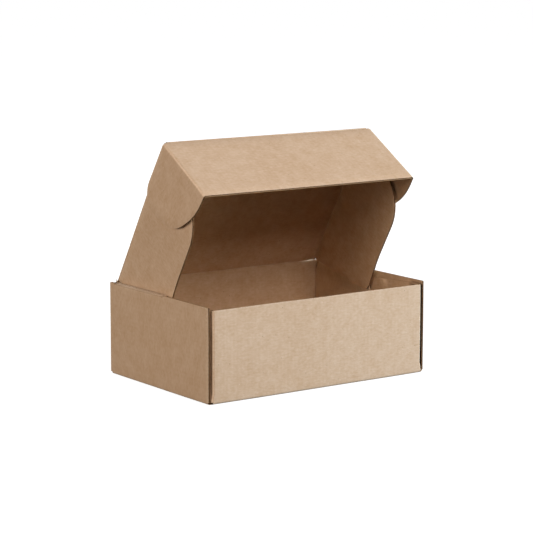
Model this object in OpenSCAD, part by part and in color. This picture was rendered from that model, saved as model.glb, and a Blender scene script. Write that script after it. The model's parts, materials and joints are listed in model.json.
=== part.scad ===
// Folding mailer box of single-wall board, with rolled-over side walls, a hinged lid,
// two dust flaps and a tuck flap with rounded lock ears. The lid stands open.
// The origin is the centre of the base. X runs along the front, Y to the hinge, Z up.

/* [Inside of the tray] */
// Clear width between the two inner side panels
inner_w = 200; // [150:1:320]
// Clear depth between the front wall and the rear wall
inner_d = 140; // [125:1:220]
// Clear height under the closed lid
inner_h = 72; // [62:1:110]

/* [Board] */
// Thickness of the corrugated board
board = 1.5; // [1.2:0.1:2]
// Inside radius of every fold
fold_r = 0.3; // [0.2:0.1:0.6]
// Air between neighbouring layers of a side wall
ply_gap = 0.15; // [0.1:0.05:0.3]

/* [Tray walls] */
// How far the front wall's cut edge stays below the side walls
front_drop = 2.3; // [2:0.1:4]
// How far the side panels' cut ends stand back from the front face
side_setback = 1.0; // [0:0.1:2]
// How far the rolled top edge is pressed below the side panel's cut edge
roll_sink = 0; // [0:0.1:0.8]
// Clearance between a closed lock ear and the front end of the roll
roll_front_gap = 7; // [1.5:0.5:12]
// Length of side wall left without a roll at the hinge end
roll_rear_cut = 7; // [4:0.5:14]
// Length of the corner flaps that the side walls enclose
corner_flap = 66; // [30:1:68]
// How much a corner flap narrows towards its free end, at each edge
corner_taper = 3; // [1:0.5:6]
// Corner radius at the free end of a corner flap
corner_flap_r = 6; // [2:0.5:10]
// Radius of the small corners of the cut sheet
cut_r = 1; // [0.5:0.1:2]

/* [Lock tabs] */
// Width of a lock tab under an inner side panel
tab_w = 18; // [10:1:24]
// Distance from the hinge line to the middle of the rear lock tab
tab_rear = 34; // [22:1:42]
// Distance from the hinge line to the middle of the front lock tab
tab_front = 96; // [80:1:100]
// How much a lock tab narrows towards its end, at each side
tab_taper = 1; // [0.5:0.1:2]
// How far the lock tabs end above the underside
tab_short = 0.2; // [0.1:0.1:0.6]
// Clearance round a lock tab in its slot
slot_clear = 0.25; // [0.15:0.05:0.5]

/* [Lid] */
// How far the lid is folded up from closed, in degrees
lid_open = 58.7; // [0:0.1:110]
// Clearance between the lid's side edge and the inner side panel
lid_side_gap = 1.1; // [0.2:0.1:1.5]
// Clearance between the closed tuck flap and the front wall
lid_front_gap = 0.6; // [0.6:0.1:3]
// Slit between two panels at a fold that moves
seam = 0.3; // [0.25:0.05:0.5]

/* [Dust flaps] */
// Clearance between a dust flap's free edge and the bottom, with the lid closed
dust_floor_gap = 3; // [2:0.5:30]
// Distance from the hinge line to the dust flap's rear end at the lid
dust_rear = 3; // [2:0.5:10]
// Slant of the dust flap's rear edge, measured along the lid
dust_rear_slant = 20.5; // [5:0.5:30]
// Radius of the dust flap's rear corner
dust_rear_r = 7; // [2:0.5:12]
// Distance from the tuck flap's face to the dust flap's front end at the lid
dust_front = 7.5; // [5:0.5:15]
// Slant of the dust flap's front edge, measured along the lid
dust_front_slant = 15; // [5:0.5:25]
// Radius of the dust flap's front corner
dust_front_r = 34; // [10:1:40]

/* [Tuck flap and lock ears] */
// Clearance between the tuck flap's free edge and the bottom, with the lid closed
tuck_floor_gap = 4.5; // [4:0.5:8]
// Reach of a lock ear, back from the tuck flap's face
ear_reach = 56; // [52:0.5:62]
// Distance from the lid's outer face to the ear's root
ear_root = 3; // [2:0.5:8]
// Distance from the lid's outer face to the top of the ear's nose
ear_nose_top = 3; // [0.5:0.5:4]
// Radius of the ear's nose
ear_nose_r = 17.5; // [8:0.5:18]
// How far the ear's chin stands forward of its nose
ear_chin = 7; // [4:0.5:12]
// Distance from the tuck flap's free edge to the ear's chin
ear_chin_rise = 17.5; // [15:0.5:26]
// Radius of the ear's chin
ear_chin_r = 31; // [10:1:33]
// How far the ear's throat stands forward of its nose
ear_throat = 36.5; // [28:0.5:38]
// Distance from the tuck flap's free edge to the ear's throat
ear_throat_rise = 0.4; // [0.2:0.2:4]
// Radius of the ear's throat
ear_throat_r = 48; // [10:1:50]
// How far an ear springs out while the box is open, in degrees from square
ear_flare = 2.2; // [0:0.1:4]
// Clearance beside an ear in its pocket
ear_side_gap = 0.2; // [0.15:0.05:0.3]
// Clearance between the ear's outline and the edge of the inner side panel
ear_clear = 1.5; // [1:0.1:4]
// Radius where the edge of the inner side panel turns towards its toe
toe_r = 6; // [2:0.5:10]

/* [Hidden] */
kraft = "#c9ad8b";
kraft_shade = "#bb9c78";

// The side wall from outside to inside: side panel, corner flap, inner side panel
stack = 3 * board + 2 * ply_gap;
tray_w = inner_w + 2 * stack;
tray_d = inner_d + 2 * board;
tray_h = inner_h + 2 * board;
front_h = tray_h - front_drop;
fold_out = fold_r + board;
corner_layer = board + ply_gap;
wall_half = tray_w / 2 - corner_layer - fold_out;

// The hinge line, in the middle of the board at the top of the rear wall
hinge_y = tray_d / 2 - board / 2;
hinge_z = tray_h - board / 2;

// The lid is drawn closed: u runs forward from the hinge line, w down from the outer face
lid_w = inner_w - 2 * lid_side_gap;
lid_u = hinge_y + tray_d / 2 - board - lid_front_gap;
lid_start = board / 2 + seam;
flap_top = board + seam;
dust_h = tray_h - board - dust_floor_gap;
tuck_h = tray_h - board - tuck_floor_gap;

// The ears lie in the layer between the corner flaps and the dust flaps
ear_x = tray_w / 2 - corner_layer - board - ear_side_gap;
ear_u = lid_u - ear_reach;

// Inner side panel: gap over the bottom, and how far it stops short of the rear wall
panel_lift = board + ply_gap;
panel_rear = tray_d / 2 - board - seam;
roll_rear = tray_d / 2 - roll_rear_cut;
roll_front = hinge_y - ear_u + roll_front_gap;
roll_h = tray_h - roll_sink;
toe_u = ear_u + ear_throat + 2 * ear_clear;

// How far a fold is drawn into the panels beside it, so that they join
lap = 0.5;

// Steps in a rounded corner
arc_steps = 10;

function unit(v) = v / norm(v);

// Points of the arc of radius r that rounds the corner b between a and c
function corner_arc(a, b, c, r) =
    let (p = unit(a - b), q = unit(c - b), half = acos(p * q) / 2)
    let (centre = b + unit(p + q) * r / sin(half))
    let (from = b + p * r / tan(half) - centre, to = b + q * r / tan(half) - centre)
    let (start = atan2(from.y, from.x), turn = atan2(to.y, to.x) - start)
    let (sweep = turn > 180 ? turn - 360 : turn < -180 ? turn + 360 : turn)
    [for (i = [0:arc_steps]) let (t = start + sweep * i / arc_steps)
        centre + r * [cos(t), sin(t)]];

// An outline from corners [x, y, radius]
function rounded(corners) =
    let (n = len(corners), at = [for (k = corners) [k.x, k.y]])
    [for (i = [0:n - 1]) each
        corners[i][2] == 0 ? [at[i]] :
        corner_arc(at[(i + n - 1) % n], at[i], at[(i + 1) % n], corners[i][2])];

// A panel cut from the board to one or more outlines, lying on the XY plane
module panel(outlines)
    linear_extrude(board)
        for (corners = outlines) polygon(rounded(corners));

// Puts a panel drawn in Y and Z upright, with its left face at x
module upright_x(x) translate([x, 0, 0]) rotate([90, 0, 90]) children();

// Puts a panel drawn in X and Z upright, with its rear face at y
module upright_y(y) translate([0, y, 0]) rotate([90, 0, 0]) children();

// A quarter-round fold of the given length, round the Z axis from +X to +Y.
// It always runs into the panel at its +Y end, and by start_lap into the one at its +X end.
module fold(length, start_lap = lap)
    linear_extrude(length) {
        intersection() {
            difference() {
                circle(fold_out, $fn = 48);
                circle(fold_r, $fn = 48);
            }
            square(fold_out);
        }
        translate([-lap, fold_r])
            square([lap, board]);
        if (start_lap > 0)
            translate([fold_r, -start_lap])
                square([board, start_lap]);
    }

module both_sides() {
    children();
    mirror([1, 0, 0]) children();
}

// Bottom, with the slots that take the lock tabs
module bottom() {
    difference() {
        translate([-tray_w / 2 + fold_out, -tray_d / 2 + fold_out, 0])
            cube([tray_w - 2 * fold_out, tray_d - 2 * fold_out, board]);
        both_sides()
            for (u = [tab_rear, tab_front])
                translate([inner_w / 2 - slot_clear, hinge_y - u - tab_w / 2 - slot_clear, -1])
                    cube([board + 2 * slot_clear, tab_w + 2 * slot_clear, board + 2]);
    }
}

// Outer side panel, with its fold to the bottom
module side_panel() {
    front = -tray_d / 2 + side_setback;
    rear = tray_d / 2;
    upright_x(tray_w / 2 - board)
        panel([[[front, fold_out, 0], [rear, fold_out, 0], [rear, tray_h, cut_r],
            [roll_rear, tray_h, 0], [roll_rear, roll_h - fold_out, 0],
            [roll_front, roll_h - fold_out, 0], [roll_front, tray_h, 0],
            [front, tray_h, cut_r]]]);
    translate([tray_w / 2 - fold_out, tray_d / 2 - fold_out, fold_out])
        rotate([90, 90, 0])
            fold(tray_d - 2 * fold_out);
}

// Double fold over the top of the side wall
module roll_over() {
    length = roll_rear - roll_front;
    translate([tray_w / 2 - fold_out, roll_rear, roll_h - fold_out])
        rotate([90, 0, 0])
            fold(length);
    translate([inner_w / 2 + fold_out, roll_rear, roll_h - fold_out])
        rotate([90, -90, 0])
            fold(length);
    translate([inner_w / 2 + fold_out, roll_front, roll_h - board])
        cube([stack - 2 * fold_out, length, board]);
}

// Outline of a lock tab whose middle is u from the hinge line
function tab(u) =
    let (y = hinge_y - u, w = tab_w / 2)
    [[y - w, panel_lift, 0], [y - w + tab_taper, tab_short, tab_taper],
        [y + w - tab_taper, tab_short, tab_taper], [y + w, panel_lift, 0]];

// Inner side panel with its lock tabs, cut back in an S round the lock ear
module inner_panel() {
    low = tray_h - tuck_h;
    chin_y = hinge_y - ear_u - ear_chin + ear_clear;
    throat_y = hinge_y - ear_u - ear_throat + ear_clear;
    upright_x(inner_w / 2)
        panel([[[roll_rear, roll_h - fold_out, 0], [roll_front, roll_h - fold_out, 0],
            [chin_y, low + ear_chin_rise, ear_chin_r],
            [throat_y, low + ear_throat_rise - ear_clear, toe_r],
            [hinge_y - toe_u, panel_lift, 0], [panel_rear, panel_lift, 0],
            [panel_rear, front_h - roll_rear_cut, cut_r]],
            tab(tab_rear), tab(tab_front)]);
}

// One corner flap with its fold to an end wall of the given height, drawn at the front
// right. Clear of the wall it is low enough to go under the roll.
module corner_tuck(height) {
    fold_y = -tray_d / 2 + fold_out;
    shoulder = -tray_d / 2 + roll_rear_cut - 1;
    free = -tray_d / 2 + corner_flap;
    foot = board + seam;
    upright_x(tray_w / 2 - corner_layer - board)
        panel([[[fold_y, foot, 0], [free, foot + corner_taper, corner_flap_r],
            [free, front_h - corner_taper, corner_flap_r], [shoulder, front_h, 0],
            [fold_y, height, 0]]]);
    translate([wall_half, fold_y, foot])
        rotate([0, 0, -90])
            fold(height - foot);
}

// Front or rear wall of the given height with its fold to the bottom, drawn at the front,
// and the corner flaps at its two ends
module end_wall(height) {
    upright_y(-tray_d / 2 + board)
        panel([[[-wall_half, fold_out, 0], [wall_half, fold_out, 0],
            [wall_half, height, 0], [-wall_half, height, 0]]]);
    translate([wall_half, -tray_d / 2 + fold_out, fold_out])
        rotate([0, 90, 180])
            fold(2 * wall_half);
    both_sides() corner_tuck(height);
}

module tray() {
    color(kraft) {
        bottom();
        end_wall(front_h);
        mirror([0, 1, 0])
            end_wall(hinge_z);
        translate([-lid_w / 2, hinge_y, hinge_z])
            rotate([0, 90, 0])
                cylinder(d = board, h = lid_w, $fn = 48);
        both_sides() {
            side_panel();
            roll_over();
            inner_panel();
        }
    }
}

// Turns what is drawn on the closed lid up to its open angle
module opened()
    translate([0, hinge_y, hinge_z])
        rotate([-lid_open, 0, 0])
            translate([0, -hinge_y, -hinge_z])
                children();

module lid() {
    color(kraft_shade)
        opened() {
            translate([-lid_w / 2 + fold_out, hinge_y - lid_u + fold_out, tray_h - board])
                cube([lid_w - 2 * fold_out, lid_u - fold_out - lid_start, board]);
            both_sides()
                translate([lid_w / 2 - fold_out, hinge_y - lid_start, tray_h - fold_out])
                    rotate([90, 0, 0])
                        fold(lid_u - fold_out - lid_start, 0);
            translate([lid_w / 2 - fold_out, hinge_y - lid_u + fold_out, tray_h - fold_out])
                rotate([90, 0, -90])
                    fold(lid_w - 2 * fold_out, 0);
        }
}

// Dust flap on the right of the lid
module dust_flap() {
    root = tray_h - flap_top - fold_r;
    free = tray_h - dust_h;
    rear = hinge_y - dust_rear;
    front = hinge_y - lid_u + dust_front;
    upright_x(lid_w / 2 - board)
        panel([[[rear, root, 0], [rear - dust_rear_slant, free, dust_rear_r],
            [front + dust_front_slant, free, dust_front_r], [front, root, 0]]]);
}

module right_dust_flap() {
    color(kraft)
        opened() dust_flap();
}

module left_dust_flap() {
    color(kraft)
        opened() mirror([1, 0, 0]) dust_flap();
}

// Lock ear at the right end of the tuck flap. Its plan, with the fold round its corner and
// the flare, is drawn from the fold's axis and then cut to the ear's outline.
module lock_ear() {
    face_y = hinge_y - lid_u;
    fold_y = face_y + fold_out;
    nose_y = hinge_y - ear_u;
    low = tray_h - tuck_h;
    out = [cos(ear_flare), -sin(ear_flare)];
    tip = (ear_reach + 1) * [sin(ear_flare), cos(ear_flare)];
    corner = tan(45 - ear_flare / 2);
    intersection() {
        translate([ear_x - fold_out, fold_y, low - 1])
            linear_extrude(tuck_h + 1)
                polygon(rounded([[-lap, -fold_out, 0],
                    [fold_out * corner, -fold_out, fold_out],
                    [each tip + fold_out * out, 0], [each tip + fold_r * out, 0],
                    [fold_r * corner, -fold_r, fold_r], [-lap, -fold_r, 0]]));
        upright_x(ear_x - 2 * fold_out)
            linear_extrude(2 * fold_out + 2 * tip.x + 1)
                polygon(rounded([[face_y - 1, tray_h - ear_root, 0],
                    [nose_y, tray_h - ear_nose_top, ear_nose_r],
                    [nose_y - ear_chin, low + ear_chin_rise, ear_chin_r],
                    [nose_y - ear_throat, low + ear_throat_rise, ear_throat_r],
                    [fold_y + lap, low, 0], [face_y - 1, low, 0]]));
    }
}

module tuck_flap() {
    half = ear_x - fold_out;
    root = tray_h - flap_top - fold_r;
    color(kraft)
        opened() {
            upright_y(hinge_y - lid_u + board)
                panel([[[-half, tray_h - tuck_h, 0], [half, tray_h - tuck_h, 0],
                    [half, root, 0], [-half, root, 0]]]);
            both_sides() lock_ear();
        }
}

tray();
lid();
left_dust_flap();
right_dust_flap();
tuck_flap();
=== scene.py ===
import bpy, bmesh, json, math
from mathutils import Matrix, Vector, noise
from mathutils.bvhtree import BVHTree


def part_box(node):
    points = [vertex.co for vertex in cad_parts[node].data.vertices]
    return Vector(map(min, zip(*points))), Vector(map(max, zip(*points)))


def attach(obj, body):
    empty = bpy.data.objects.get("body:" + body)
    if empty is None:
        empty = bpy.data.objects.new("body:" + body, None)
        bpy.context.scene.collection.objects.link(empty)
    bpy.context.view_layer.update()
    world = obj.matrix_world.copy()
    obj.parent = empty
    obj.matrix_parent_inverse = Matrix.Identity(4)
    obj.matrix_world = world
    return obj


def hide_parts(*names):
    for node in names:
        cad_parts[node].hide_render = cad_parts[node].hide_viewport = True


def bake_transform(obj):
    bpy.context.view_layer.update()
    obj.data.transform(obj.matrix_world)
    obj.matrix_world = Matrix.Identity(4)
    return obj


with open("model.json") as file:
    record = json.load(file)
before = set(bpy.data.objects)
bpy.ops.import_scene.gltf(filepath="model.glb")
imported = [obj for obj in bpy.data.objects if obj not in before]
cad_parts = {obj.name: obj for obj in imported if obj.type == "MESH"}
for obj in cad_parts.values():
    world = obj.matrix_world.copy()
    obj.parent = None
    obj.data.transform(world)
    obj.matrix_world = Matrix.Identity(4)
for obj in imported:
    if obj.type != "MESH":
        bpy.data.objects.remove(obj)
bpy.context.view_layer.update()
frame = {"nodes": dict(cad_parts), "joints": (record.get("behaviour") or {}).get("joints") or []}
print("frame loaded:", ", ".join(sorted(frame["nodes"])))

# Sizes in millimetres, as in the part's source. Meshes are made in millimetres and
# brought to metres at the end of each piece.
sheet = {
    "board": 1.5,          # E-flute board, both liners and the medium
    "flutePitch": 3.4,     # one wave of the medium
    "gridStep": 8.0,       # spacing of the points that let a panel stray from flat
    "waveLength": 62.0,    # length of the slow waves in a panel
    "waveHeight": 0.2,     # how far they reach
    "merge": 0.003,        # points closer than this are one
    "cutSnap": 0.002,      # a grid cut takes up points this close to it
    "flat": 0.3,           # degrees between faces that are taken for one
    "sharp": 35,           # degrees from which an edge is drawn sharp
}
board = sheet["board"]
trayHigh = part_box("tray")[1] * 1000
noise.seed_set(1)          # the slow waves are the same in each run

lidHinge = next(j for j in frame["joints"] if j["name"] == "lid_hinge")
hinge = Vector(lidHinge["pos_m"]) * 1000
lidOpen = math.radians(-lidHinge["range_deg"][0])

# The lid's panels are worked on with the lid closed, where they line up with the axes
openLid = (Matrix.Translation(hinge) @ Matrix.Rotation(-lidOpen, 4, "X")
           @ Matrix.Translation(-hinge))
closeLid = openLid.inverted()

# The photograph's place and angle
view = {
    "lens": 141.86,                     # mm
    "sensor": 36,                       # mm
    "place": (-0.965, -1.3613, 0.3636),
    "down": 9.405,                      # degrees below level
    "turn": -35.3,                      # degrees from the front
    "reach": 20,                        # metres, as far as it sees
}
camera = bpy.data.objects.new("camera", bpy.data.cameras.new("camera"))
bpy.context.scene.collection.objects.link(camera)
camera.data.lens = view["lens"]
camera.data.sensor_width = view["sensor"]
camera.data.clip_end = view["reach"]
camera.location = view["place"]
camera.rotation_euler = (math.radians(90 - view["down"]), 0, math.radians(view["turn"]))
bpy.context.scene.camera = camera


def linearColour(hexCode):
    values = [int(hexCode[i:i + 2], 16) / 255 for i in (1, 3, 5)]
    return tuple(v / 12.92 if v <= 0.04045 else ((v + 0.055) / 1.055) ** 2.4
                 for v in values) + (1.0,)


def addNode(tree, kind, settings=None, links=None):
    node = tree.nodes.new(kind)
    for key, value in (settings or {}).items():
        if isinstance(key, int) or key in node.inputs:
            node.inputs[key].default_value = value
        else:
            setattr(node, key, value)
    for key, source in (links or {}).items():
        tree.links.new(source, node.inputs[key])
    return node


def newMaterial(name):
    material = bpy.data.materials.new(name)
    material.use_nodes = True
    material.node_tree.nodes.clear()
    return material, material.node_tree


studio = {
    "floorColour": "#4B4946",    # what the object itself sees of the floor
    "floorSize": 30,             # metres
    "paleGlow": (0.93, 1.0),     # the floor as the camera sees it, before the lamps add theirs
    "glowReach": (0.3, 1.6),     # metres from the box over which it grows to its second value
    "paleMatt": 0.25,            # the part of it that the lamps light, so it keeps a shadow
    "fill": 0.0,                 # even light from all round
    "lamps": {                   # azimuth from the front, elevation, size in m, level, tint
        "keyLamp": (0, 38, 0.8, 0.665, "#FFF1ED"),
        "rightLamp": (67, 5, 0.34, 1.42, "#D7ECFF"),
        "leftLamp": (-85, 12, 0.8, 0.49, "#FFEDE1"),
        "rearLamp": (180, 20, 0.6, 0.6, "#FFFFFF"),
    },
    "lampDistance": 1.9,
    "lampAim": (0, 0, 0.08),
}


# 1 for what the camera sees, straight or in a reflection or through a clear thing, else 0
def seenByCamera(tree):
    path = addNode(tree, "ShaderNodeLightPath")
    seen = path.outputs["Is Camera Ray"]
    for other in ("Is Glossy Ray", "Is Transmission Ray"):
        seen = addNode(tree, "ShaderNodeMath", {"operation": "MAXIMUM"},
                       {0: seen, 1: path.outputs[other]}).outputs[0]
    return seen


# The floor glows white to the camera, keeps a faint shadow, and is dull to the object
floorMaterial, tree = newMaterial("paleStudioFloor")
matt = addNode(tree, "ShaderNodeBsdfDiffuse", {"Color": (studio["paleMatt"],) * 3 + (1,)})
place = addNode(tree, "ShaderNodeTexCoord").outputs["Object"]
reach = addNode(tree, "ShaderNodeVectorMath", {"operation": "LENGTH"},
                {0: place}).outputs["Value"]
level = addNode(tree, "ShaderNodeMapRange",
                {"From Min": studio["glowReach"][0], "From Max": studio["glowReach"][1],
                 "To Min": studio["paleGlow"][0], "To Max": studio["paleGlow"][1]},
                {"Value": reach}).outputs[0]
glow = addNode(tree, "ShaderNodeEmission", {"Color": (1, 1, 1, 1)}, {"Strength": level})
pale = addNode(tree, "ShaderNodeAddShader", {}, {0: glow.outputs[0], 1: matt.outputs[0]})
dull = addNode(tree, "ShaderNodeBsdfDiffuse", {"Color": linearColour(studio["floorColour"])})
mixed = addNode(tree, "ShaderNodeMixShader", {},
                {0: seenByCamera(tree), 1: dull.outputs[0], 2: pale.outputs[0]})
addNode(tree, "ShaderNodeOutputMaterial", {}, {0: mixed.outputs[0]})

bm = bmesh.new()
bmesh.ops.create_grid(bm, x_segments=1, y_segments=1, size=studio["floorSize"])
floorMesh = bpy.data.meshes.new("floor")
bm.to_mesh(floorMesh)
bm.free()
floorMesh.materials.append(floorMaterial)
floor = bpy.data.objects.new("floor", floorMesh)
bpy.context.scene.collection.objects.link(floor)

world = bpy.data.worlds.new("studio")
bpy.context.scene.world = world
world.use_nodes = True
tree = world.node_tree
tree.nodes.clear()
fill = addNode(tree, "ShaderNodeBackground", {0: (1, 1, 1, 1), 1: studio["fill"]})
white = addNode(tree, "ShaderNodeBackground", {0: (1, 1, 1, 1), 1: 1.0})
mixed = addNode(tree, "ShaderNodeMixShader", {},
                {0: seenByCamera(tree), 1: fill.outputs[0], 2: white.outputs[0]})
addNode(tree, "ShaderNodeOutputWorld", {}, {0: mixed.outputs[0]})

aim = Vector(studio["lampAim"])
for name, (azimuth, elevation, size, level, tint) in studio["lamps"].items():
    lamp = bpy.data.objects.new(name, bpy.data.lights.new(name, "AREA"))
    lamp.data.shape = "SQUARE"
    lamp.data.size = size
    lamp.data.color = linearColour(tint)[:3]
    # a level of 1 lights a face turned to the lamp so that its colour renders as written
    lamp.data.energy = level * (math.pi * studio["lampDistance"]) ** 2
    a, e = math.radians(azimuth), math.radians(elevation)
    away = Vector((math.sin(a) * math.cos(e), -math.cos(a) * math.cos(e), math.sin(e)))
    lamp.location = aim + away * studio["lampDistance"]
    lamp.rotation_euler = away.to_track_quat("Z", "Y").to_euler()
    bpy.context.scene.collection.objects.link(lamp)
bpy.context.scene.view_settings.view_transform = "Standard"
print("camera, floor and lamps made")


# Kraft liner: unbleached softwood pulp, run off a paper machine and glued over the flutes.
# Matt and mottled where the fibres clump, streaked along the machine's run, with stray bark
# and pale specks, a slight relief that shows in grazing light, and faint lines over the flutes.
linerLook = {
    "outside": {"pale": "#DDC6AA", "deep": "#C2A27D", "roughness": 0.84},
    "inside": {"pale": "#D2B594", "deep": "#B5916A", "roughness": 0.88},
    "ior": 1.45,
    "specular": 0.3,
    "dark": "#7E5F42",         # bark speck
    "light": "#EAD9C0",        # pale fibre, and on a crease broken fibres with a painted highlight
    "shade": "#4A3220",        # painted shade, in the deep gap beside the right front corner and on the rolls
    # size in mm along and across the run, detail and roughness of each pattern
    "cloud": ((9.0, 9.0), 3.0, 0.55),      # soft clouds of tone
    "mottle": ((3.4, 1.9), 4.0, 0.6),      # clumps of fibre
    "streak": ((8.0, 0.7), 2.0, 0.55),     # drawn coarser than single fibres
    "drift": ((60.0, 60.0), 1.0, 0.55),    # slow change of tone over a panel
    "creaseWearAndHighlight": ((1.6, 1.6), 3.0, 0.55),       # breaks up the wear and painted highlight on a crease
    # how much each pattern adds to the tone and to the relief
    "tone": {"mottle": 0.9, "cloud": 0.8, "streak": 0.5, "drift": 0.4, "flute": 0.02},
    "toneRange": (0.8, 1.8),   # sums at which the tone is deep and pale
    "relief": {"streak": 1.0, "mottle": 1.0, "flute": 0.04},
    "reliefHeight": 0.07,      # mm, height of the clumps
    "speckEvery": 6.0,         # mm
    "speckSize": 0.5,          # mm across, the larger ones only
    "speckCore": 0.02,         # of the spacing, inside which a speck has its full strength
    "speckStrength": 0.7,
    "darkAbove": 0.6,          # each speck has a number by chance, and is dark above this
    "lightBelow": 0.25,        # pale below this, and otherwise left out
    "wearAndHighlightRange": (0.25, 0.65), # wear and painted highlight times its pattern, where it starts and where it is full
    "wearAndHighlightStrength": 0.6,
}


# The board's unfolded coordinates, the second one alone, and the medium's wave along the first
def sheetCoordinates(tree):
    flat = addNode(tree, "ShaderNodeUVMap", {"uv_map": "sheet"}).outputs[0]
    parts = addNode(tree, "ShaderNodeSeparateXYZ", {}, {0: flat})
    turn = addNode(tree, "ShaderNodeMath",
                   {"operation": "MULTIPLY", 1: 2 * math.pi / sheet["flutePitch"]},
                   {0: parts.outputs[0]}).outputs[0]
    wave = addNode(tree, "ShaderNodeMath", {"operation": "SINE"}, {0: turn}).outputs[0]
    return flat, parts.outputs[1], wave


def kraftLiner(name, look):
    material, tree = newMaterial(name)
    place = addNode(tree, "ShaderNodeTexCoord").outputs["Object"]
    mm = addNode(tree, "ShaderNodeVectorMath", {"operation": "SCALE", "Scale": 1000.0},
                 {0: place}).outputs[0]
    flat, _, wave = sheetCoordinates(tree)

    def clouds(pattern, source):
        size, detail, rough = linerLook[pattern]
        scaled = addNode(tree, "ShaderNodeMapping",
                         {"Scale": (1 / size[0], 1 / size[1], 1 / size[1])}, {"Vector": source})
        return addNode(tree, "ShaderNodeTexNoise",
                       {"Scale": 1.0, "Detail": detail, "Roughness": rough},
                       {"Vector": scaled.outputs[0]}).outputs["Fac"]

    patterns = {"cloud": clouds("cloud", mm), "mottle": clouds("mottle", flat),
                "streak": clouds("streak", flat), "drift": clouds("drift", mm), "flute": wave}

    def weighted(weights):
        total = None
        for pattern, weight in weights.items():
            links = {0: patterns[pattern]}
            if total is not None:
                links[2] = total
            total = addNode(tree, "ShaderNodeMath",
                            {"operation": "MULTIPLY_ADD", 1: weight, 2: 0.0}, links).outputs[0]
        return total

    tone = addNode(tree, "ShaderNodeMapRange",
                   {"From Min": linerLook["toneRange"][0], "From Max": linerLook["toneRange"][1]},
                   {"Value": weighted(linerLook["tone"])}).outputs[0]
    colour = addNode(tree, "ShaderNodeMix",
                     {"data_type": "RGBA", 6: linearColour(look["deep"]),
                      7: linearColour(look["pale"])}, {0: tone}).outputs[2]

    # tints laid over the tone, each by its share: specks, painted shade, and crease wear with a
    # painted highlight
    tints = []
    spots = addNode(tree, "ShaderNodeTexVoronoi", {"Scale": 1 / linerLook["speckEvery"]},
                    {"Vector": mm})
    near = addNode(tree, "ShaderNodeMapRange",
                   {"From Min": linerLook["speckSize"] / linerLook["speckEvery"],
                    "From Max": linerLook["speckCore"], "To Max": linerLook["speckStrength"]},
                   {"Value": spots.outputs["Distance"]}).outputs[0]
    pick = addNode(tree, "ShaderNodeSeparateColor", {}, {0: spots.outputs["Color"]}).outputs[0]
    for side, limit, tint in (("GREATER_THAN", "darkAbove", "dark"),
                              ("LESS_THAN", "lightBelow", "light")):
        some = addNode(tree, "ShaderNodeMath", {"operation": side, 1: linerLook[limit]},
                       {0: pick}).outputs[0]
        speck = addNode(tree, "ShaderNodeMath", {"operation": "MULTIPLY"},
                        {0: near, 1: some}).outputs[0]
        tints.append((speck, tint))
    shade = addNode(tree, "ShaderNodeAttribute", {"attribute_name": "shade"}).outputs["Fac"]
    tints.append((shade, "shade"))
    # crease wear with a painted highlight, broken up by a pattern
    wearAndHighlight = addNode(tree, "ShaderNodeAttribute", {"attribute_name": "wearAndHighlight"}).outputs["Fac"]
    wearAndHighlight = addNode(tree, "ShaderNodeMath", {"operation": "MULTIPLY"},
                   {0: wearAndHighlight, 1: clouds("creaseWearAndHighlight", mm)}).outputs[0]
    wearAndHighlight = addNode(tree, "ShaderNodeMapRange",
                   {"From Min": linerLook["wearAndHighlightRange"][0], "From Max": linerLook["wearAndHighlightRange"][1],
                    "To Max": linerLook["wearAndHighlightStrength"]}, {"Value": wearAndHighlight}).outputs[0]
    tints.append((wearAndHighlight, "light"))
    for share, tint in tints:
        colour = addNode(tree, "ShaderNodeMix",
                         {"data_type": "RGBA", 7: linearColour(linerLook[tint])},
                         {0: share, 6: colour}).outputs[2]

    bump = addNode(tree, "ShaderNodeBump",
                   {"Strength": 1.0, "Distance": linerLook["reliefHeight"] / 1000},
                   {"Height": weighted(linerLook["relief"])}).outputs[0]
    shader = addNode(tree, "ShaderNodeBsdfPrincipled",
                     {"Roughness": look["roughness"], "IOR": linerLook["ior"],
                      "Specular IOR Level": linerLook["specular"]},
                     {"Base Color": colour, "Normal": bump})
    addNode(tree, "ShaderNodeOutputMaterial", {}, {0: shader.outputs[0]})
    return material


# Cut edge of the board: the knife leaves both liners as lines, with the medium's wave between them
# and painted shade in the flutes' hollows.
edgeLook = {
    "liner": "#A68561",
    "medium": "#7C5B3B",
    "paintedHollowShade": "#20120A",
    "linerThick": 0.24,       # mm, drawn a little thicker than real so that it shows
    "mediumThick": 0.2,       # mm
    "mediumCore": 0.6,        # of that thickness, drawn in the medium's full colour
    "blur": 0.04,             # mm, softness of the liners' inner lines
    "roughness": 0.9,
    "ior": 1.45,
    "specular": 0.2,
}


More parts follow.
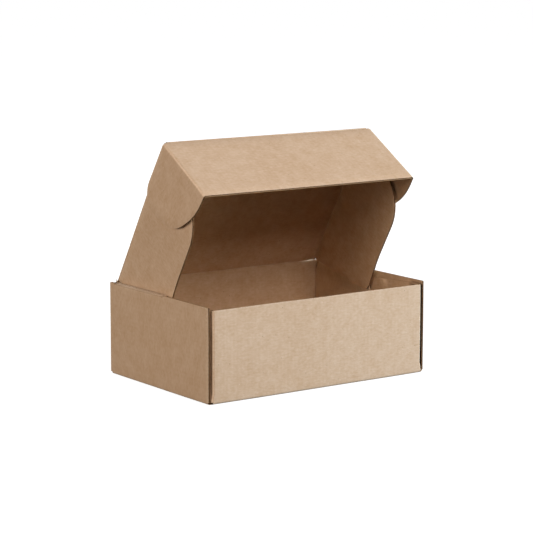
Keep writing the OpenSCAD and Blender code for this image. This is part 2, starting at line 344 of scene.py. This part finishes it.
def flutedEdge(name):
    material, tree = newMaterial(name)
    _, through, wave = sheetCoordinates(tree)
    inner = board / 2 - edgeLook["linerThick"]
    thick = edgeLook["mediumThick"]
    middle = addNode(tree, "ShaderNodeMath",
                     {"operation": "MULTIPLY_ADD", 1: inner - thick / 2, 2: board / 2},
                     {0: wave}).outputs[0]
    off = addNode(tree, "ShaderNodeMath", {"operation": "SUBTRACT"},
                  {0: through, 1: middle}).outputs[0]
    off = addNode(tree, "ShaderNodeMath", {"operation": "ABSOLUTE"}, {0: off}).outputs[0]
    inMedium = addNode(tree, "ShaderNodeMapRange",
                       {"From Min": thick, "From Max": thick * edgeLook["mediumCore"]},
                       {"Value": off}).outputs[0]
    side = addNode(tree, "ShaderNodeMath", {"operation": "SUBTRACT", 1: board / 2},
                   {0: through}).outputs[0]
    side = addNode(tree, "ShaderNodeMath", {"operation": "ABSOLUTE"}, {0: side}).outputs[0]
    inLiner = addNode(tree, "ShaderNodeMapRange",
                      {"From Min": inner - edgeLook["blur"], "From Max": inner + edgeLook["blur"]},
                      {"Value": side}).outputs[0]
    # the flutes' hollows are painted in shade, with the medium drawn over them
    colour = addNode(tree, "ShaderNodeMix",
                     {"data_type": "RGBA", 6: linearColour(edgeLook["paintedHollowShade"]),
                      7: linearColour(edgeLook["medium"])}, {0: inMedium}).outputs[2]
    colour = addNode(tree, "ShaderNodeMix",
                     {"data_type": "RGBA", 7: linearColour(edgeLook["liner"])},
                     {0: inLiner, 6: colour}).outputs[2]
    shader = addNode(tree, "ShaderNodeBsdfPrincipled",
                     {"Roughness": edgeLook["roughness"], "IOR": edgeLook["ior"],
                      "Specular IOR Level": edgeLook["specular"]}, {"Base Color": colour})
    addNode(tree, "ShaderNodeOutputMaterial", {}, {0: shader.outputs[0]})
    return material


boardMaterials = [
    kraftLiner("kraftLinerOutside", linerLook["outside"]),
    kraftLiner("kraftLinerInside", linerLook["inside"]),
    flutedEdge("flutedCutEdge"),
]
outsideLiner, insideLiner, cutEdge = range(3)
print("materials made:", ", ".join(m.name for m in boardMaterials))

# Sizes of a cut edge in millimetres
edgeCut = {
    "rim": 0.22,       # a liner's thickness as the knife leaves it, drawn a little thick
    "depth": 0.9,      # how far the view reaches into the open flutes
    "round": 0.08,     # rounding of a liner's cut rim
    "corner": 60,      # degrees from which a rim is rounded
    "least": 0.9,      # a cut narrower than this stays closed
}

# How the board is measured with rays, in millimetres
probe = {
    "start": 0.01,     # from this far below a face
    "slack": 0.1,      # a liner's other side is one board off, give or take this
    "inside": 0.3,     # from this far inside a cut edge
    "far": 99,         # taken where a ray meets nothing
    "flat": 0.003,     # radians between the faces of one flat patch
    "off": 0.02,       # a point further than this from the solid
    "out": 0.01,       # and this far outside it is put back
    "facing": 0.9,     # share of a normal from which a face looks along an axis
}

# Slack of the folded board in millimetres. Each pair is where a bend starts and where it is
# full. The front corners draw in from the side panels, which leaves a dark gap beside the
# fold, and the right side panel ends further back.
cornerGap = {"in": 1.9, "x": (84.0, 100.0), "y": (-60.0, -68.5), "z": (1.0, 3.0),
             "setback": 0.45}
# The inner side panels' front edges stand back below the roll and are pressed flat
# where the ears slide past
reliefBack = {"back": 5.0, "y": ((-40.0, -20.0), (5.0, -7.0)),
              "z": ((20.0, 45.0), (72.0, 64.0)), "pressed": (-22.0, 0.0)}
# The rolls sink a little towards the inside
rollSag = {"down": 0.7, "x": (104.6, 101.6), "y": ((-12.0, -2.0), (66.0, 62.0)),
           "z": (70.0, 74.0)}
# The dust flaps' lower rear corners lean out to the side walls and hang a little low
dustLean = {"out": 0.7, "low": 2.4, "forward": 1.4, "y": (10.0, 45.0), "z": (45.0, 0.0)}

# Where the layers of a double side wall part, measured in from the tray's side
layerEnds = [trayHigh.x - depth for depth in (1.6, 3.2, 4.9)]
# Between the tray's floor and the closed lid: liners turned away from here are outside
middleHeight = 37.0


# 0 in a side wall's outer panel, 1 in the corner flaps behind it, 2 in the inner panel and
# 3 inside the box
def layerAt(co):
    return sum(abs(co.x) <= end for end in layerEnds)


def between(value, span):
    return span[0] < value < span[1]


def isPressed(co, n):
    return (layerAt(co) == 2 and between(co.y, reliefBack["pressed"])
            and n.y < -probe["facing"])



# Tells the two liners from the cut edges: a liner has the other liner one board's
# thickness behind it
def sortFaces(bm, solid, isOutside):
    seen = set()
    for first in bm.faces:
        if first in seen:
            continue
        patch, waiting = [], [first]
        seen.add(first)
        while waiting:
            face = waiting.pop()
            patch.append(face)
            for edge in face.edges:
                for other in edge.link_faces:
                    if other in seen:
                        continue
                    if other.normal.angle(first.normal, math.pi) < probe["flat"]:
                        seen.add(other)
                        waiting.append(other)
        liner = 0
        for face in patch:
            centre = face.calc_center_median()
            depth = solid.ray_cast(centre - face.normal * probe["start"], -face.normal)[3]
            thin = depth is not None and abs(depth + probe["start"] - board) < probe["slack"]
            liner += face.calc_area() * (1 if thin else -1)
        for face in patch:
            if isPressed(face.calc_center_median(), face.normal):
                face.material_index = insideLiner
            elif liner <= 0:
                face.material_index = cutEdge
            elif isOutside(face.calc_center_median(), face.normal):
                face.material_index = outsideLiner
            else:
                face.material_index = insideLiner


# Sinks the cut edges between the two liners' rims, as the open flutes are
def openFlutes(bm, solid):
    faces = [f for f in bm.faces if f.material_index == cutEdge]
    narrow = []
    for face in faces:
        length = sum(e.calc_length() for e in face.edges)
        if 2 * face.calc_area() / length < edgeCut["least"]:
            narrow.append(face)
    faces = [f for f in faces if f not in narrow]
    rims = bmesh.ops.inset_region(bm, faces=faces, use_boundary=True, use_even_offset=True,
                                  thickness=edgeCut["rim"], depth=0)["faces"]
    walls = bmesh.ops.inset_region(bm, faces=faces, use_boundary=True, use_even_offset=True,
                                   thickness=0, depth=-edgeCut["depth"])["faces"]
    for face in rims + walls:
        face.material_index = cutEdge
    known = set(rims)
    outer = [e for face in rims for e in face.edges
             if len(e.link_faces) == 2 and e.is_convex
             and e.calc_face_angle(0) > math.radians(edgeCut["corner"])
             and sum(f in known for f in e.link_faces) == 1]
    bmesh.ops.bevel(bm, geom=list(dict.fromkeys(outer)), offset=edgeCut["round"],
                    offset_type="OFFSET", segments=2, profile=0.5, affect="EDGES",
                    clamp_overlap=True, material=-1)
    # a tight corner can throw a point out of the board; it goes back to the surface
    for vert in bm.verts:
        near, normal, _, gap = solid.find_nearest(vert.co)
        if gap > probe["off"] and (vert.co - near).dot(normal) > probe["out"]:
            vert.co = near


# Painted shade on the tray: the deep gap beside the right front corner, and the rolls.
# Millimetres, and shares of the liner's "shade".
shadow = {
    "gapX": (101.2, 103.4), "gapY": (-70.6, -60.0), "gapTop": 71.0, "gap": 1.0,
    "rollY": (-8.0, 66.0), "rollLow": 73.6, "roll": 0.3,
}
# Broken pale fibres and a painted highlight on the creases, in front of "rear" and not on the
# rolls behind "roll". A face that leans by "full" off its panel has all of them.
wearAndHighlightAt = {"rear": 60.0, "roll": -66.0, "full": 0.2}


# Unfolded coordinates in millimetres: u across the flutes, v along them, and on a cut edge
# v from one face of the board to the other
def layFlutes(bm, solid, acrossOf):
    flat = bm.loops.layers.uv.new("sheet")
    wearAndHighlight = bm.verts.layers.float.new("wearAndHighlight")
    shade = bm.verts.layers.float.new("shade")
    for vert in bm.verts:
        co = vert.co
        # painted shade in the deep gap beside the right front corner and on the rolls
        if (between(co.x, shadow["gapX"]) and between(co.y, shadow["gapY"])
                and co.z < shadow["gapTop"]):
            vert[shade] = shadow["gap"]
        if layerAt(co) < 3 and co.z > shadow["rollLow"] and between(co.y, shadow["rollY"]):
            vert[shade] = shadow["roll"]
    for face in bm.faces:
        centre = face.calc_center_median()
        if face.material_index == cutEdge:
            inside = centre - face.normal * probe["inside"]
            spans = []
            for axis in range(3):
                way = Vector([float(axis == i) for i in range(3)])
                up = solid.ray_cast(inside, way)[3] or probe["far"]
                down = solid.ray_cast(inside, -way)[3] or probe["far"]
                spans.append((up + down, axis, down))
            _, axis, down = min(spans)
            across = acrossOf(axis, centre)
            for loop in face.loops:
                co = loop.vert.co
                loop[flat].uv = (co[across], co[axis] - centre[axis] + down)
        else:
            size = [abs(v) for v in face.normal]
            axis = size.index(max(size))
            across = acrossOf(axis, centre)
            for loop in face.loops:
                co = loop.vert.co
                loop[flat].uv = (co[across], co[3 - axis - across])
            onRoll = layerAt(centre) < 3 and centre.y > wearAndHighlightAt["roll"]
            # pale worn fibres and a painted highlight on the rounded creases
            if (face.material_index == outsideLiner and centre.y < wearAndHighlightAt["rear"]
                    and not onRoll):
                creaseWearAndHighlight = min(1, (1 - max(size)) / wearAndHighlightAt["full"])
                for vert in face.verts:
                    vert[wearAndHighlight] = max(vert[wearAndHighlight], creaseWearAndHighlight)


def cutAt(bm, axis, at):
    normal = Vector([float(i == axis) for i in range(3)])
    bmesh.ops.bisect_plane(bm, geom=bm.verts[:] + bm.edges[:] + bm.faces[:],
                           dist=sheet["cutSnap"], plane_co=normal * at, plane_no=normal)


def pieceOfBoard(name, node, body, onLid, isOutside, acrossOf, bend):
    bm = bmesh.new()
    bm.from_mesh(frame["nodes"][node].data)
    bm.transform(Matrix.Scale(1000, 4))
    if onLid:
        bm.transform(closeLid)
    bmesh.ops.remove_doubles(bm, verts=bm.verts, dist=sheet["merge"])
    bm.normal_update()
    solid = BVHTree.FromBMesh(bm)
    sortFaces(bm, solid, isOutside)
    bmesh.ops.dissolve_limit(bm, angle_limit=math.radians(sheet["flat"]), verts=bm.verts,
                             edges=bm.edges, delimit={"MATERIAL"})
    openFlutes(bm, solid)
    low = Vector(min(v.co[i] for v in bm.verts) for i in range(3))
    high = Vector(max(v.co[i] for v in bm.verts) for i in range(3))
    for axis in range(3):
        count = int((high[axis] - low[axis]) / sheet["gridStep"])
        for k in range(1, count):
            cutAt(bm, axis, low[axis] + (high[axis] - low[axis]) * k / count)
    bmesh.ops.triangulate(bm, faces=[f for f in bm.faces if len(f.verts) > 4],
                          quad_method="BEAUTY", ngon_method="BEAUTY")
    bm.normal_update()
    layFlutes(bm, solid, acrossOf)
    for vert in bm.verts:
        vert.co += bend(vert.co)
    if onLid:
        bm.transform(openLid)
    for vert in bm.verts:
        vert.co += stray(vert.co)
    for edge in bm.edges:
        edge.smooth = edge.calc_face_angle(0) < math.radians(sheet["sharp"])
    return finishPiece(bm, name, body, boardMaterials, [node])


# The slow waves of a real panel. One field for all, so that neighbours stay side by side.
def stray(co):
    return noise.noise_vector(co / sheet["waveLength"]) * sheet["waveHeight"]


def finishPiece(bm, name, body, materials, nodes=()):
    bm.transform(Matrix.Scale(0.001, 4))
    mesh = bpy.data.meshes.new(name)
    for face in bm.faces:
        face.smooth = True
    loose = sum(not e.is_manifold for e in bm.edges)
    bm.to_mesh(mesh)
    bm.free()
    for material in materials:
        mesh.materials.append(material)
    piece = bpy.data.objects.new(name, mesh)
    bpy.context.scene.collection.objects.link(piece)
    if body:
        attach(piece, body)
    if nodes:
        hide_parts(*nodes)
    print(name, "-", len(mesh.polygons), "faces,", loose, "open edges")
    return piece


def lidOutside(co, n):
    return co.x * n.x + co.y * n.y + (co.z - middleHeight) * n.z > 0


# The inner side panels turn the sheet's outside inwards
def trayOutside(co, n):
    if layerAt(co) == 2 and abs(n.x) > probe["facing"]:
        return co.x * n.x < 0
    return lidOutside(co, n)


# Flutes run from front to rear in the bottom, the lid, the side walls and the dust flaps,
# and up in the end walls, the corner flaps, the tuck flap and its ears
def acrossTray(axis, co):
    if axis == 0:
        return 1 if layerAt(co) == 1 else 2
    return 0


def acrossLid(axis, co):
    return 2 if axis == 0 else 0


def acrossTuck(axis, co):
    return 1 if axis == 0 else 0


# 0 at the first value of each pair and 1 at its second, eased between, and all multiplied
def eased(value, *pairs):
    way = 1
    for start, full in pairs:
        t = min(1, max(0, (value - start) / (full - start)))
        way *= t * t * (3 - 2 * t)
    return way


def trayBend(co):
    layer, x = layerAt(co), abs(co.x)
    if layer == 2 and co.y > reliefBack["y"][0][0]:
        way = eased(co.y, *reliefBack["y"]) * eased(co.z, *reliefBack["z"])
        return Vector((0, reliefBack["back"] * way, 0))
    way = eased(co.y, cornerGap["y"])
    if way == 0:
        way = eased(x, rollSag["x"]) * eased(co.y, *rollSag["y"]) * eased(co.z, rollSag["z"])
        return Vector((0, 0, -rollSag["down"] * way if layer < 3 else 0))
    if layer == 0:
        return Vector((0, cornerGap["setback"] * way if co.x > 0 else 0, 0))
    way *= eased(x, cornerGap["x"]) * eased(co.z, cornerGap["z"])
    return Vector((-math.copysign(cornerGap["in"] * way, co.x), 0, 0))


def dustBend(co):
    way = eased(co.y, dustLean["y"]) * eased(co.z, dustLean["z"])
    return Vector((math.copysign(dustLean["out"], co.x), -dustLean["forward"],
                   -dustLean["low"])) * way


def noBend(co):
    return Vector()


pieceOfBoard("trayBoard", "tray", "tray", False, trayOutside, acrossTray, trayBend)
pieceOfBoard("lidBoard", "lid", "lid", True, lidOutside, acrossLid, noBend)
for side in ("left", "right"):
    pieceOfBoard(side + "DustBoard", side + "_dust_flap", side + "_dust_flap", True,
                 lidOutside, acrossLid, dustBend)
pieceOfBoard("tuckBoard", "tuck_flap", "tuck_flap", True, lidOutside, acrossTuck, noBend)


# Creases of the lid. The board runs on through each fold, so a thin strip closes the parting
# between the two nodes. The hinge's strip rides on the lid; the others stay where they are made.
# Millimetres, with the lid closed.
crease = {
    "thick": 1.44,
    "half": 0.25,                    # half its reach along the flap
    "flapTop": 73.05,                # middle height of the strips at the flaps
    "side": (98.15, 2.9, 128.4),     # x, y and length
    "tuck": (-68.65, 193.6),         # y and length
    "hinge": (70.15, 197.4, 1.1),    # y, length and width
}


def creaseStrip(name, size, centre, bodies):
    bm = bmesh.new()
    bmesh.ops.create_cube(bm, size=1,
                          matrix=Matrix.Translation(centre) @ Matrix.Diagonal((*size, 1)))
    layFlutes(bm, None, acrossLid)
    bm.transform(openLid)
    for vert in bm.verts:
        vert.co += stray(vert.co)
    piece = finishPiece(bm, name, bodies[0] if len(bodies) == 1 else None, boardMaterials)
    if len(bodies) == 2:
        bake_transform(piece)


sideX, sideY, sideLong = crease["side"]
for side, way in (("left", -1), ("right", 1)):
    creaseStrip(side + "Crease", (crease["thick"], sideLong, 2 * crease["half"]),
                Vector((way * sideX, sideY, crease["flapTop"])), ("lid", side + "_dust_flap"))
tuckY, tuckLong = crease["tuck"]
creaseStrip("tuckCrease", (tuckLong, crease["thick"], 2 * crease["half"]),
            Vector((0, tuckY, crease["flapTop"])), ("lid", "tuck_flap"))
hingeY, hingeLong, hingeWide = crease["hinge"]
creaseStrip("hingeCrease", (hingeLong, hingeWide, crease["thick"]),
            Vector((0, hingeY, hinge.z)), ("lid",))
print("creases closed")
